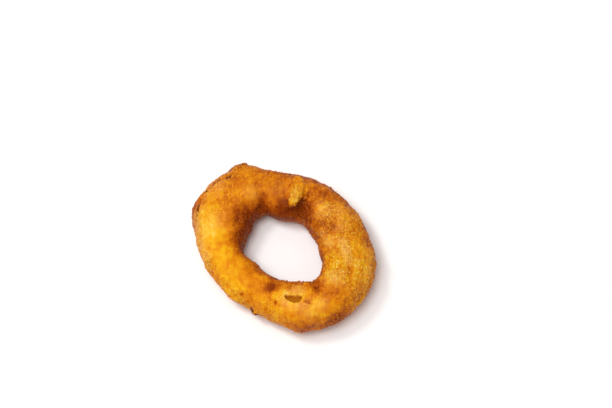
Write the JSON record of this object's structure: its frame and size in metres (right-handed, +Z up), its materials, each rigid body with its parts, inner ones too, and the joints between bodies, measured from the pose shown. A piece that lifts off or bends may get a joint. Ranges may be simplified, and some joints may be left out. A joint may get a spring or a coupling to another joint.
{
  "type": "onion ring",
  "caption": "Battered and deep-fried onion ring lying flat: an uneven closed hoop of golden crust with a burst blister and a drip of batter over its band.",
  "frame": {"origin": "middle of the ring's box seen from above, on the surface that it lies on", "axes": "+Z up through the hole, +X along the longest side of the box, +Y towards the side with the drip of batter"},
  "size_m": [0.0794, 0.0782, 0.0183],
  "materials": {
    "fried_batter": "golden deep-fried batter, lightly oily, finely blistered, with browner edges and crumbs"
  },
  "bodies": {
    "root": {"onion_ring": "fried_batter"}
  },
  "joints": []
}
